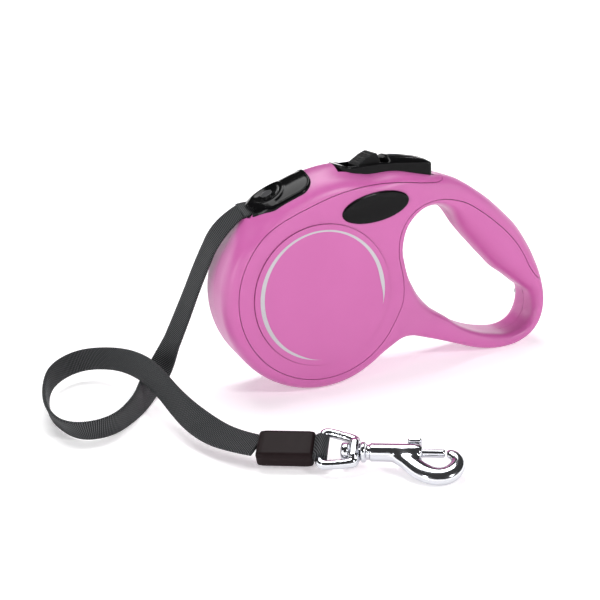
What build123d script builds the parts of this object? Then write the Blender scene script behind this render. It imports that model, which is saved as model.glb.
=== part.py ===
"""Retractable tape leash: a round casing with a hand loop, a spring-wound spool, a thumb
brake, and a short webbing lead that ends in a swivel snap hook.

Frame: millimetres, +Z up, +X towards the hand loop, and the decorated front faces -Y. The
origin is the centre of the casing's box, at the bottom, where the casing stands on a surface.
"""
import os
from math import cos, pi, radians, sin, sqrt, tan

from build123d import *

# ---- driving dimensions -------------------------------------------------------------------
LENGTH = 142.0            # casing, from the nose side to the back of the hand loop
BODY_R = 38.5             # round body
BODY_T = 30.0             # thickness at the spool
LOOP_T = 19.0             # thickness of the hand loop
TAPE_W = 10.0             # webbing width
TAPE_THICK = 0.85         # thin tape on the spool
TAPE_LENGTH = 3000.0
GAP = 0.2                 # shut line between visible parts
RUN_FIT = 0.06            # radial clearance of a running fit

AXLE_X = BODY_R - LENGTH / 2
AXLE_Z = BODY_R

# Side view, seen from the front, measured from the spool axle: u to the right, v up.
SIDE = Plane(origin=(AXLE_X, 0, AXLE_Z), x_dir=(1, 0, 0), z_dir=(0, -1, 0))


def at(u, y, v):
    """A point in the part's frame, from side-view coordinates and its depth."""
    return Vector(AXLE_X + u, y, AXLE_Z + v)


def depth(y):
    """The side-view plane at depth y; extruding from it goes towards the front."""
    return SIDE.offset(-y)


def filled(points):
    """The face inside a smooth closed curve."""
    with BuildSketch() as sketch:
        with BuildLine():
            Spline(*points, periodic=True)
        make_face()
    return sketch.sketch


def save(name, label):
    """Label a finished piece and write its file."""
    name.part.label = label
    export_step(name.part, f"parts/{label}.step")


os.makedirs("parts", exist_ok=True)

# ---- casing shape -----------------------------------------------------------------------------
BODY_OUTLINE = [
    (-38.48, 0), (-33.4, 20.6), (-21.5, 36.2), (-3, 43.8), (14, 45.8), (30, 44.2), (43, 39.6),
    (50, 32.0), (48.5, 24.5), (41.5, 17.5), (37.5, 8), (37.5, -3), (39.5, -12), (36.0, -20.5),
    (24.5, -29.7), (13.1, -36.1), (0, -38.44), (-13.1, -36.1), (-27.2, -27.2), (-36.2, -13.2),
]
LOOP_OUTLINE = [
    (27, 8), (29, 21), (36, 31), (46, 36.6), (57, 37.4), (67, 33.6), (79, 25.5), (90, 13.5),
    (98.5, 0), (102.7, -12), (103.0, -24), (98.6, -33.3), (90, -37.8), (81, -38.46),
    (71, -36.7), (60, -32.5), (49, -28.1), (39, -24.2), (31, -16), (27.5, -4),
]
HOLE_OUTLINE = [
    (36.9, 12.5), (38.9, 20.6), (44.0, 25.8), (52, 27.4), (60, 26.2), (68.5, 21.6), (78, 14.2),
    (86, 5.8), (92.5, -3.5), (97.2, -13.5), (97.6, -24.0), (93.2, -31.2), (85.5, -33.5),
    (74, -31.7), (63, -27.2), (54, -21.2), (46.2, -12), (40.4, -2), (37.4, 6),
]
# Finger swell on the inside of the loop: u, v, heading in degrees, and its height there.
GRIP_STATIONS = [
    (58.5, 27.6, -18, 1.6), (66, 23.6, -33, 6.6), (74, 18.0, -40, 9.4), (82, 10.8, -45, 10.2),
    (89, 2.6, -52, 9.0), (94.5, -6.4, -62, 5.4), (98.2, -15, -80, 1.6),
]
BODY_FILLET = 7.0
LOOP_FILLET = 2.4
GRIP_HALF = 8.7

with BuildPart() as body_solid:
    with BuildSketch(SIDE):
        add(filled(BODY_OUTLINE))
    extrude(amount=BODY_T / 2, both=True)
    fillet(body_solid.faces().filter_by(Axis.Y).edges(), BODY_FILLET)

with BuildPart() as loop_solid:
    with BuildSketch(SIDE):
        add(filled(LOOP_OUTLINE))
        add(filled(HOLE_OUTLINE), mode=Mode.SUBTRACT)
    extrude(amount=LOOP_T / 2, both=True)
    fillet(loop_solid.faces().filter_by(Axis.Y).edges(), LOOP_FILLET)

with BuildPart() as grip_solid:
    for u, v, heading, height in GRIP_STATIONS:
        along = (cos(radians(heading)), 0, sin(radians(heading)))
        across = (sin(radians(heading)), 0, -cos(radians(heading)))
        with BuildSketch(Plane(origin=at(u, 0, v), x_dir=across, z_dir=along)):
            Ellipse(height, GRIP_HALF)
    loft()

# ---- rooms inside the casing --------------------------------------------------------------------
SPOOL_ROOM_R = 35.7
SPOOL_ROOM_Y = 12.4
BRAKE_ROOM = [
    (-17, 27), (-13, 33), (0, 40), (14, 42.6), (30, 41), (40, 37), (46, 31.5), (44, 29.4),
    (38, 27.2), (34.6, 22), (33.4, 17), (30, 16),
]
BRAKE_ROOM_Y = 9.0
BUTTON_FRONT = 10.6
BUTTON_REAR = 51.4
BUTTON_HALF = 6.0
BUTTON_PIVOT = (14.5, 41.2)
PAWL_PIVOT = (41.0, 31.2)
PIN_R = 1.2
PIN_Y = 10.2
SPRING_SEAT = (46.0, 33.5)
AXLE_R = 2.5
BOSS_R = 5.0
FRONT_BOSS_Y = 8.0
REAR_BOSS_Y = 11.6
AXLE_FRONT_Y = 12.0
AXLE_REAR_Y = 13.2
SCREWS = [(-4.5, 38.8), (38.4, -15.8), (100.4, -20), (61.5, 31.6)]
SCREW_R = 1.1
SCREW_HEAD_R = 2.1
SCREW_HEAD_Y = 6.2
SCREW_TIP_Y = 7.5
MOUTH = (-20.0, 33.9)
MOUTH_TILT = -5.0
MOUTH_H = 2.8
MOUTH_W = TAPE_W + 1.6

# ---- covers and inlays -----------------------------------------------------------------------------
COVER_R = 33.4
COVER_START = -28.4
COVER_SWEEP = -226.5
COVER_EDGE = [
    (5.1, 37.0), (13.4, 38.6), (21.4, 39.2), (33.9, 38.9), (46.6, 37.2), (54, 43), (72, 40),
    (92, 22), (104, 2), (107, -10), (99.5, -10.2), (95.4, -5.3), (88.1, 6.9), (76.7, 18.1),
    (65, 26.2), (53.1, 29.6), (42.1, 28.6), (35.5, 22.1), (33.2, 14), (34.6, 2), (33.6, -8),
]
COVER_FLOOR = [(-60, 13.4), (35, 13.4), (50, 7.9), (120, 7.9), (120, 20), (-60, 20)]
DISC_R = 27.4
DISC_T = 1.1
TRIM_R = 25.3
TRIM_T = 0.35
TRIM_PROUD = 0.05
TRIM_START = -17.0
TRIM_SWEEP = 282.0
TRIM_STEPS = 24
BADGE_AT = (22.9, 31.0)
BADGE_TILT = 10.3
BADGE_A = 13.7
BADGE_B = 4.7
BADGE_T = 1.2
BADGE_PROUD = 0.7

# ---- nose guard ------------------------------------------------------------------------------------
GUARD_Y = 10.6
GUARD_CREST = [(-25.6, 33.2), (-21.6, 37.2), (-13.2, 41.8), (-4.6, 44.4), (2.6, 45.6)]
GUARD_SEAT = [(-23.4, 31.6), (-20.2, 34.6), (-12.2, 39.4), (-4.0, 42.2), (2.4, 43.2)]
RIVET_AT = (-15.6, 39.6)
RIVET_LEAN = 33.4
RIVET_R = 1.9
RIVET_T = 3.2

# ---- spool, ratchet and spring -----------------------------------------------------------------------
FLANGE_R = 33.0
HUB_R = 14.0
TEETH = 24
TOOTH_DEPTH = 2.0
TOOTH_PHASE = 5.3
RATCHET_Y = (-7.3, -5.5)
REAR_FLANGE_Y = (5.5, 6.7)
CUP_Y = (7.4, 11.4)
CUP_R = 26.0
CUP_WALL = 1.2
CUP_LID_T = 0.6
ARBOR_R = 6.0
ARBOR_END_Y = 11.2
SPRING_Y = (8.3, 11.0)
SPRING_THICK = 0.4
SPRING_TURNS = 8
SPRING_POINTS_PER_TURN = 12
INNER_RUN = [(2.0, 32.4), (-26.3, 34.45)]    # tape from the spool's top to the mouth

# ---- button, lock and pawl -----------------------------------------------------------------------------
BUTTON_SIDE = [
    (9.4, 46.5), (11.6, 48.2), (20.0, 46.6), (33.0, 47.9), (41.0, 47.2), (48.0, 45.6),
    (51.0, 42.8), (50.9, 38.6),
    (44.0, 38.2), (38.0, 39.4), (30.0, 40.4), (20.0, 41.0), (16.9, 39.6), (12.4, 39.2),
    (11.2, 41.2), (11.2, 45.8),
]
SLIDER_CHANNEL = (20.2, 32.6, 45.1)      # from u, to u, and its floor
STEM_SLOT = (23.3, 29.5)
BUTTON_FOOT = [(26.4, 42), (26.4, 31.2), (28.0, 30.5), (29.6, 31.2), (29.6, 42)]
LOCK_SIDE = [
    (20.6, 45.2), (20.8, 46.2), (24.0, 48.3), (27.0, 49.3), (28.6, 48.9), (29.2, 47.2), (29.4, 45.2),
]
LOCK_STEM = [(23.5, 45.3), (23.5, 40.0), (26.5, 40.0), (26.5, 45.3)]
LOCK_HALF = 4.4
STEM_HALF = 1.0
FOOT_HALF = 2.4
BUTTON_SHOULDER = 45.0
BUTTON_CROWN = 3.2
PAWL_SIDE = [
    (43.2, 31.2), (42.6, 33.0), (41.0, 33.4), (34.0, 31.4), (28.0, 30.2), (21.0, 30.0),
    (19.1, 28.9), (19.4, 27.7), (20.6, 26.75), (21.4, 28.3), (30.0, 28.4), (41.0, 29.0), (42.6, 29.4),
]
PAWL_BOSS_R = 2.2
PAWL_PEG = (28.0, 29.0)
BUTTON_SPRING_R = 2.2
BUTTON_SPRING_WIRE = 0.3
BUTTON_SPRING_H = 4.4
SPRING_PITCH = 0.9

# ---- webbing lead --------------------------------------------------------------------------------------
STRAP_TUBE_R = 1.5
STRAP_ROUTE = [
    (-26.3, 0, 72.95), (-34, 3, 66.5), (-41, 8, 50), (-48.5, 13, 30.5), (-57.5, 17.5, 10),
    (-64.5, 12, 4.8), (-73, -5.5, 4.7), (-85, -19, 4.7), (-98, -16.5, 4.7), (-104.5, -1, 5),
    (-104.5, 18, 6.5), (-99, 36, 8), (-86, 45, 9), (-73.5, 36, 10.5), (-67, 14, 13.2),
    (-64, -5, 13.2), (-61, -26, 10), (-56.5, -40.5, 7.4), (-51.3, -52, 6.6),
]

# ---- snap hook: u along the barrel, v across the webbing, w out of the hook's flat ----------------------
HOOK_HEADING = -30.0
HOOK_TILT = 22.0
HOOK_ZERO = (1.55, -101.35, 1.8)
SLEEVE = (-60.3, -41.3)
SLEEVE_W = 11.5
SLEEVE_T = 5.0
SLEEVE_EDGE_R = 1.8
SLEEVE_V = 13.3
LOOP_W = 8.8
LOOP_THICK = 1.0
LOOP_FIT = 0.08
LOOP_NECK = 3.2
EYE_WIRE_R = 1.35
EYE_BAR_U = -39.2
EYE_V = 12.8
EYE_HALF = 6.6
EYE_END_U = -28.2
BARREL_V = 12.1
BARREL_R = 2.85
STUD_R = 1.6
STUD_HEAD_R = 3.0
BOLT_R = 1.4
BOLT = (-17.0, 0.2)
KNOB_U = -9.0
COLLAR_R = 3.3
STUD_HEAD = (-32.6, -29.8)
COLLAR = (-26.2, -24.3)
BARREL = (-24.4, -6.6)
BOLT_BORE = (-23.4, -5.5)
BOLT_SPRING_R = 1.05
BOLT_SPRING_WIRE = 0.22
BOLT_SPRING_H = 5.6
HOOK_HALF = 2.0
HOOK_OUTER = [
    (-15.5, -2.2), (-12, -4.6), (-8.5, -6.9), (-4.5, -8.6), (0, -9.0), (4, -7.4), (6.2, -4.3),
    (5.8, -1.0), (3.6, 1.4), (0.6, 1.9),
]
HOOK_INNER = [
    (0.6, -1.7), (2.4, -2.4), (2.6, -4.0), (0.8, -5.5), (-1.8, -5.7), (-4.2, -4.6), (-5.8, -2.9),
    (-7.2, -1.8),
]


def outline_solid(points, half):
    """A prism |y| <= half of a side-view polygon."""
    with BuildPart() as prism:
        with BuildSketch(SIDE):
            with BuildLine():
                Polyline(*points, close=True)
            make_face()
        extrude(amount=half, both=True)
    return prism.part


def round_solid(u, v, radius, y0, y1):
    """A cylinder across the casing between two depths."""
    with BuildPart() as cylinder:
        with BuildSketch(depth(y0)):
            with Locations((u, v)):
                Circle(radius)
        extrude(amount=y0 - y1)
    return cylinder.part


with BuildPart() as mouth:
    with BuildSketch(SIDE):
        with Locations(MOUTH):
            Rectangle(24, MOUTH_H, rotation=MOUTH_TILT)
    extrude(amount=MOUTH_W / 2, both=True)

with BuildPart() as guard_rivet:
    with BuildSketch(Plane(origin=at(RIVET_AT[0], 0, RIVET_AT[1]), x_dir=(0, 1, 0),
                           z_dir=(-sin(radians(RIVET_LEAN)), 0, cos(radians(RIVET_LEAN))))):
        Circle(RIVET_R)
    extrude(amount=RIVET_T / 2, both=True)
save(guard_rivet, "guard_rivet")

with BuildPart() as room:
    add(guard_rivet.part)
    add(round_solid(0, 0, SPOOL_ROOM_R, -SPOOL_ROOM_Y, SPOOL_ROOM_Y))
    add(round_solid(0, 0, AXLE_R, 0, AXLE_REAR_Y))
    add(outline_solid(BRAKE_ROOM, BRAKE_ROOM_Y))
    add(outline_solid([(BUTTON_FRONT, 40), (BUTTON_FRONT, 60), (BUTTON_REAR + 0.6, 60),
                       (BUTTON_REAR + 0.6, SPRING_SEAT[1]), (40, SPRING_SEAT[1]), (30, 38)],
                      BUTTON_HALF + GAP))
    add(mouth.part)
    add(round_solid(*BUTTON_PIVOT, PIN_R, -PIN_Y, PIN_Y))
    add(round_solid(*PAWL_PIVOT, PIN_R, -PIN_Y, PIN_Y))
    for u, v in SCREWS:
        add(round_solid(u, v, SCREW_R, -SCREW_TIP_Y, SCREW_HEAD_Y))
        add(round_solid(u, v, SCREW_HEAD_R, SCREW_HEAD_Y, BODY_T))

with BuildPart() as bosses:
    add(round_solid(0, 0, BOSS_R, -SPOOL_ROOM_Y - 0.5, -FRONT_BOSS_Y))
    add(round_solid(0, 0, BOSS_R, REAR_BOSS_Y, SPOOL_ROOM_Y + 0.5))
    add(round_solid(0, 0, AXLE_R, -AXLE_FRONT_Y, AXLE_REAR_Y), mode=Mode.SUBTRACT)

# ---- casing shells ---------------------------------------------------------------------------------
def cover_face():
    """The side-view area of a cover: round at the nose, running out along the hand loop."""
    with BuildSketch() as sketch:
        with BuildLine():
            arc = CenterArc((0, 0), COVER_R, COVER_START, COVER_SWEEP)
            Spline(arc @ 1, *COVER_EDGE, arc @ 0)
        make_face()
    return sketch.sketch


with BuildPart() as hole_solid:
    with BuildSketch(SIDE):
        add(filled(HOLE_OUTLINE))
    extrude(amount=BODY_T, both=True)

with BuildPart() as outer:
    add(body_solid.part)
    add(loop_solid.part)
    add(hole_solid.part, mode=Mode.SUBTRACT)
    add(grip_solid.part)

with BuildPart() as cover_floor:
    with BuildSketch(Plane(origin=(AXLE_X, 0, 0), x_dir=(1, 0, 0), z_dir=(0, 0, 1))):
        with BuildLine():
            Polyline(*COVER_FLOOR, close=True)
        make_face()
        mirror(about=Plane.XZ)
    extrude(amount=120, both=True)

with BuildPart() as cover_room:
    with BuildSketch(SIDE):
        add(cover_face())
    extrude(amount=BODY_T, both=True)
    add(cover_floor.part, mode=Mode.INTERSECT)

with BuildPart() as cover_pieces:
    add(cover_room.part)
    add(outer.part, mode=Mode.INTERSECT)

with BuildPart() as guard_blank:
    with BuildSketch(SIDE):
        with BuildLine():
            crest = Spline(*GUARD_CREST)
            seat = Spline(*GUARD_SEAT)
            Line(crest @ 0, seat @ 0)
            Line(crest @ 1, seat @ 1)
        make_face()
    extrude(amount=GUARD_Y, both=True)

with BuildPart() as nose_guard:
    add(guard_blank.part)
    add(mouth.part, mode=Mode.SUBTRACT)
    add(guard_rivet.part, mode=Mode.SUBTRACT)
save(nose_guard, "nose_guard")

with BuildPart() as case:
    add(outer.part)
    add(cover_room.part, mode=Mode.SUBTRACT)
    add(guard_blank.part, mode=Mode.SUBTRACT)
    add(room.part, mode=Mode.SUBTRACT)
    add(bosses.part)

with BuildPart() as front_casing:
    add(case.part)
    split(bisect_by=Plane.XZ, keep=Keep.TOP)
with BuildPart() as rear_casing:
    add(case.part)
    split(bisect_by=Plane.XZ, keep=Keep.BOTTOM)
save(front_casing, "front_casing")
save(rear_casing, "rear_casing")

# ---- covers, discs, trims and badges, the same on both sides ---------------------------------------
def trim_width(step):
    """The silver arc's width: widest at the sides, thin at the top, pointed at both ends."""
    angle = radians(TRIM_START + TRIM_SWEEP * step / TRIM_STEPS)
    taper = min(1.0, step / 2, (TRIM_STEPS - step) / 2)
    return (1.15 + 0.5 * cos(2 * angle)) * taper


def badge_plane(y):
    """The badge's own plane at depth y, turned to its tilt."""
    u, v = BADGE_AT
    return Plane(origin=at(u, y, v), x_dir=(cos(radians(BADGE_TILT)), 0, sin(radians(BADGE_TILT))),
                 z_dir=(0, -1, 0))


FACE_Y = BODY_T / 2
with BuildPart() as disc:
    add(round_solid(0, 0, DISC_R, -FACE_Y, -FACE_Y + DISC_T))

with BuildPart() as trim:
    with BuildSketch(depth(-FACE_Y + TRIM_T)):
        with BuildLine():
            outer_arc = CenterArc((0, 0), TRIM_R, TRIM_START, TRIM_SWEEP)
            inner_points = []
            for step in range(1, TRIM_STEPS):
                angle = radians(TRIM_START + TRIM_SWEEP * step / TRIM_STEPS)
                radius = TRIM_R - trim_width(step)
                inner_points.append((radius * cos(angle), radius * sin(angle)))
            Spline(outer_arc @ 0, *inner_points, outer_arc @ 1)
        make_face()
    extrude(amount=TRIM_T + TRIM_PROUD)

with BuildPart() as badge:
    with BuildSketch(badge_plane(-FACE_Y + BADGE_T)):
        Ellipse(BADGE_A, BADGE_B)
    extrude(amount=BADGE_T + BADGE_PROUD)
    fillet(badge.faces().sort_by(Axis.Y)[0].edges(), 0.6)

with BuildPart() as inlay_room:
    add(round_solid(0, 0, DISC_R + GAP, -FACE_Y - 1, -FACE_Y + DISC_T))
    with BuildSketch(badge_plane(-FACE_Y + BADGE_T)):
        Ellipse(BADGE_A + GAP / 2, BADGE_B + GAP / 2)
    extrude(amount=BADGE_T + 1)

with BuildPart() as front_cover:
    add(cover_pieces.part)
    split(bisect_by=Plane.XZ, keep=Keep.TOP)
    add(inlay_room.part, mode=Mode.SUBTRACT)
with BuildPart() as front_disc:
    add(disc.part)
    add(trim.part, mode=Mode.SUBTRACT)
for piece, name in ((front_cover, "cover"), (front_disc, "disc"), (trim, "trim"), (badge, "badge")):
    save(piece, f"front_{name}")
    with BuildPart() as rear_piece:
        add(piece.part)
        mirror(about=Plane.XZ, mode=Mode.REPLACE)
    save(rear_piece, f"rear_{name}")

# ---- spool -------------------------------------------------------------------------------------------
SPOOL_BORE = AXLE_R + RUN_FIT
TAPE_R = sqrt(HUB_R ** 2 + TAPE_LENGTH * TAPE_THICK / pi)
print(f"wound tape radius {TAPE_R:.2f} mm")

with BuildPart() as spool:
    add(round_solid(0, 0, HUB_R, RATCHET_Y[1], REAR_FLANGE_Y[1]))
    add(round_solid(0, 0, FLANGE_R, *REAR_FLANGE_Y))
    add(round_solid(0, 0, HUB_R - 3, RATCHET_Y[1] - 1, REAR_FLANGE_Y[0] - 1), mode=Mode.SUBTRACT)
    add(round_solid(0, 0, AXLE_R + 2, RATCHET_Y[1], REAR_FLANGE_Y[1]))
    add(round_solid(0, 0, SPOOL_BORE, RATCHET_Y[0] - 1, REAR_FLANGE_Y[1] + 1), mode=Mode.SUBTRACT)
save(spool, "spool")

with BuildPart() as ratchet_flange:
    add(round_solid(0, 0, FLANGE_R, *RATCHET_Y))
    add(round_solid(0, 0, SPOOL_BORE, RATCHET_Y[0] - 1, RATCHET_Y[1] + 1), mode=Mode.SUBTRACT)
    with BuildSketch(depth(RATCHET_Y[1])):
        with PolarLocations(FLANGE_R, TEETH, start_angle=TOOTH_PHASE):
            Polygon((0.5, 0), (-TOOTH_DEPTH, 0), (-TOOTH_DEPTH, 1.5), (0.5, 6.2), align=None)
    extrude(amount=RATCHET_Y[1] - RATCHET_Y[0], mode=Mode.SUBTRACT)
save(ratchet_flange, "ratchet_flange")

with BuildPart() as wound_tape:
    add(round_solid(0, 0, TAPE_R, -TAPE_W / 2, TAPE_W / 2))
    add(round_solid(0, 0, HUB_R + 0.05, -TAPE_W, TAPE_W), mode=Mode.SUBTRACT)
save(wound_tape, "wound_tape")

with BuildPart() as inner_tape_run:
    with BuildSketch(SIDE):
        with BuildLine():
            (inner_u, inner_v), (outer_u, outer_v) = INNER_RUN
            half = TAPE_THICK / 2
            Polyline((inner_u, inner_v - half), (inner_u, inner_v + half),
                     (outer_u, outer_v + half), (outer_u, outer_v - half), close=True)
        make_face()
    extrude(amount=TAPE_W / 2, both=True)
save(inner_tape_run, "inner_tape_run")

with BuildPart() as axle:
    add(round_solid(0, 0, AXLE_R, -AXLE_FRONT_Y, AXLE_REAR_Y))
save(axle, "axle")

with BuildPart() as spring_arbor:
    add(round_solid(0, 0, ARBOR_R, REAR_FLANGE_Y[1], ARBOR_END_Y))
    add(round_solid(0, 0, SPOOL_BORE, 0, BODY_T), mode=Mode.SUBTRACT)
save(spring_arbor, "spring_arbor")

with BuildPart() as spring_cup:
    add(round_solid(0, 0, CUP_R, CUP_Y[0], SPOOL_ROOM_Y))
    add(round_solid(0, 0, CUP_R - CUP_WALL, CUP_Y[0] - 1, CUP_Y[1]), mode=Mode.SUBTRACT)
    add(round_solid(0, 0, BOSS_R + 0.3, 0, BODY_T), mode=Mode.SUBTRACT)
save(spring_cup, "spring_cup")

with BuildPart() as spring_lid:
    add(round_solid(0, 0, CUP_R - CUP_WALL, CUP_Y[0], CUP_Y[0] + CUP_LID_T))
    add(round_solid(0, 0, ARBOR_R + 0.6, 0, BODY_T), mode=Mode.SUBTRACT)
save(spring_lid, "spring_lid")

with BuildPart() as power_spring:
    with BuildSketch(depth(SPRING_Y[1])):
        with BuildLine():
            turns = SPRING_TURNS * SPRING_POINTS_PER_TURN
            inner, outside = [], []
            for step in range(turns + 1):
                angle = 2 * pi * step / SPRING_POINTS_PER_TURN
                radius = ARBOR_R + 0.4 + (CUP_R - CUP_WALL - ARBOR_R - 1.2) * step / turns
                inner.append((radius * cos(angle), radius * sin(angle)))
                outside.append(((radius + SPRING_THICK) * cos(angle),
                                (radius + SPRING_THICK) * sin(angle)))
            first = Spline(*inner)
            second = Spline(*outside)
            Line(first @ 0, second @ 0)
            Line(first @ 1, second @ 1)
        make_face()
    extrude(amount=SPRING_Y[1] - SPRING_Y[0])
save(power_spring, "power_spring")

# ---- button, lock, pawl, springs and screws ------------------------------------------------------------
with BuildPart() as brake_button:
    add(outline_solid(BUTTON_SIDE, BUTTON_HALF))
    with BuildSketch(Plane(origin=at(0, 0, BUTTON_SHOULDER), x_dir=(0, 1, 0), z_dir=(1, 0, 0))):
        Ellipse(BUTTON_HALF, BUTTON_CROWN)
        with Locations((0, -10)):
            Rectangle(2 * BUTTON_HALF, 20)
    extrude(amount=LENGTH, mode=Mode.INTERSECT)
    channel_front, channel_rear, channel_floor = SLIDER_CHANNEL
    add(outline_solid([(channel_front, channel_floor), (channel_front, 60), (channel_rear, 60),
                       (channel_rear, channel_floor)], LOCK_HALF + GAP), mode=Mode.SUBTRACT)
    add(outline_solid(BUTTON_FOOT, FOOT_HALF))
    slot_front, slot_rear = STEM_SLOT
    add(outline_solid([(slot_front, 50), (slot_front, 30), (slot_rear, 30), (slot_rear, 50)],
                      STEM_HALF + GAP), mode=Mode.SUBTRACT)
    add(round_solid(*BUTTON_PIVOT, PIN_R + RUN_FIT, -BODY_T, BODY_T), mode=Mode.SUBTRACT)
save(brake_button, "brake_button")

with BuildPart() as lock_slider:
    add(outline_solid(LOCK_SIDE, LOCK_HALF))
    add(outline_solid(LOCK_STEM, STEM_HALF))
save(lock_slider, "lock_slider")

with BuildPart() as brake_pawl:
    with BuildSketch(depth(RATCHET_Y[0])):
        with BuildLine():
            Polyline(*PAWL_SIDE, close=True)
        make_face()
    extrude(amount=RATCHET_Y[0] - RATCHET_Y[1])
    add(round_solid(*PAWL_PIVOT, PAWL_BOSS_R, RATCHET_Y[0], 4))
    add(round_solid(*PAWL_PEG, 1.0, RATCHET_Y[0], 3))
    add(round_solid(*PAWL_PIVOT, PIN_R + RUN_FIT, -BODY_T, BODY_T), mode=Mode.SUBTRACT)
save(brake_pawl, "brake_pawl")

for label, (u, v) in (("button_pin", BUTTON_PIVOT), ("pawl_pin", PAWL_PIVOT)):
    with BuildPart() as pin:
        add(round_solid(u, v, PIN_R, -PIN_Y, PIN_Y))
    save(pin, label)

with BuildPart() as button_spring:
    with BuildLine() as coil:
        Helix(pitch=SPRING_PITCH, height=BUTTON_SPRING_H - 0.6,
              radius=BUTTON_SPRING_R - BUTTON_SPRING_WIRE,
              center=at(SPRING_SEAT[0], 0, SPRING_SEAT[1] + BUTTON_SPRING_WIRE))
    with BuildSketch(Plane(origin=coil.line @ 0, z_dir=coil.line % 0)):
        Circle(BUTTON_SPRING_WIRE)
    sweep(path=coil.line, is_frenet=True)
save(button_spring, "button_spring")

with BuildPart() as casing_screws:
    for u, v in SCREWS:
        add(round_solid(u, v, SCREW_R, -SCREW_TIP_Y, SCREW_HEAD_Y))
        add(round_solid(u, v, SCREW_HEAD_R - 0.15, SCREW_HEAD_Y, SCREW_HEAD_Y + 1.5))
        with BuildSketch(depth(SCREW_HEAD_Y + 1.5)):
            with Locations((u, v)):
                Rectangle(2.4, 0.5)
                Rectangle(0.5, 2.4)
        extrude(amount=0.7, mode=Mode.SUBTRACT)
save(casing_screws, "casing_screws")

# ---- webbing lead ----------------------------------------------------------------------------------------
heading, tilt = radians(HOOK_HEADING), radians(HOOK_TILT)
HOOK = Plane(origin=(AXLE_X + HOOK_ZERO[0], HOOK_ZERO[1], HOOK_ZERO[2]),
             x_dir=(cos(heading), sin(heading), 0),
             z_dir=(sin(heading) * sin(tilt), -cos(heading) * sin(tilt), cos(tilt)))


def hook_at(u, v, w=0.0):
    """A point in the part's frame from the hook's own coordinates."""
    return HOOK.from_local_coords(Vector(u, v, w))


def barrel_plane(u):
    """The plane across the swivel's axis at u; extruding from it goes towards the hook."""
    return Plane(origin=hook_at(u, BARREL_V), x_dir=HOOK.y_dir, z_dir=HOOK.x_dir)


def eye_plane(v):
    """The plane across the eye's bar at v."""
    return Plane(origin=hook_at(EYE_BAR_U, v), x_dir=HOOK.x_dir, z_dir=HOOK.y_dir)


def bar(radius, u0, u1, inner=0.0):
    """A round bar on the swivel's axis, with a bore when inner is given."""
    with BuildPart() as cylinder:
        with BuildSketch(barrel_plane(u0)):
            Circle(radius)
            if inner:
                Circle(inner, mode=Mode.SUBTRACT)
        extrude(amount=u1 - u0)
    return cylinder.part


with BuildPart() as strap_sleeve:
    with BuildSketch(HOOK):
        with Locations(((SLEEVE[0] + SLEEVE[1]) / 2, SLEEVE_V)):
            Rectangle(SLEEVE[1] - SLEEVE[0], SLEEVE_W)
    extrude(amount=SLEEVE_T / 2, both=True)
    long_edges = [edge for edge in strap_sleeve.edges()
                  if abs(edge.length - (SLEEVE[1] - SLEEVE[0])) < 0.01]
    fillet(long_edges, SLEEVE_EDGE_R)
save(strap_sleeve, "strap_sleeve")

with BuildPart() as strap_end_loop:
    with BuildSketch(eye_plane(EYE_V - LOOP_W / 2)):
        Circle(EYE_WIRE_R + LOOP_FIT + LOOP_THICK)
        with Locations(((SLEEVE[1] - EYE_BAR_U) / 2, 0)):
            Rectangle(EYE_BAR_U - SLEEVE[1], LOOP_NECK)
        Circle(EYE_WIRE_R + LOOP_FIT, mode=Mode.SUBTRACT)
    extrude(amount=LOOP_W)
save(strap_end_loop, "strap_end_loop")

with BuildPart() as swivel_eye:
    with BuildLine(HOOK) as ring_line:
        ring_path = FilletPolyline(
            (EYE_BAR_U, EYE_V + EYE_HALF), (EYE_END_U, EYE_V + 3.6),
            (EYE_END_U, EYE_V - 5.0), (EYE_BAR_U, EYE_V - EYE_HALF), radius=1.9, close=True)
    with BuildSketch(Plane(origin=ring_path @ 0, z_dir=ring_path % 0)):
        Circle(EYE_WIRE_R)
    sweep(path=ring_path)
    with BuildSketch(HOOK):
        with Locations((EYE_END_U + 0.2, BARREL_V)):
            RectangleRounded(3.4, 8.6, 1.4)
    extrude(amount=2.5, both=True)
    add(bar(STUD_R + RUN_FIT, EYE_END_U - 6, EYE_END_U + 6), mode=Mode.SUBTRACT)
save(swivel_eye, "swivel_eye")

with BuildPart() as hook_body:
    add(bar(STUD_HEAD_R, *STUD_HEAD))
    add(bar(STUD_R, STUD_HEAD[1], BARREL[0]))
    add(bar(COLLAR_R, *COLLAR))
    add(bar(BARREL_R, *BARREL))
    with BuildSketch(Plane(origin=hook_at(0, BARREL_V), x_dir=HOOK.x_dir, z_dir=HOOK.z_dir)):
        with BuildLine():
            outer_line = Spline(*HOOK_OUTER)
            inner_line = Spline(*HOOK_INNER)
            Line(outer_line @ 1, inner_line @ 0)
            Line(inner_line @ 1, outer_line @ 0)
        make_face()
    extrude(amount=HOOK_HALF, both=True)
    add(bar(BOLT_R + RUN_FIT, *BOLT_BORE), mode=Mode.SUBTRACT)
    with BuildSketch(HOOK):
        with Locations((KNOB_U - 2, BARREL_V + 3)):
            Rectangle(10.8, 6)
    extrude(amount=1.0, both=True, mode=Mode.SUBTRACT)
save(hook_body, "hook_body")

with BuildPart() as trigger_bolt:
    add(bar(BOLT_R, *BOLT))
    with BuildSketch(HOOK):
        with Locations((KNOB_U, BARREL_V + 2.4)):
            Rectangle(3.6, 4.8)
    extrude(amount=0.85, both=True)
    with BuildSketch(HOOK):
        with Locations((KNOB_U, BARREL_V + 4.6)):
            Rectangle(4.0, 2.2)
    extrude(amount=2.0, both=True)
save(trigger_bolt, "trigger_bolt")

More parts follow.
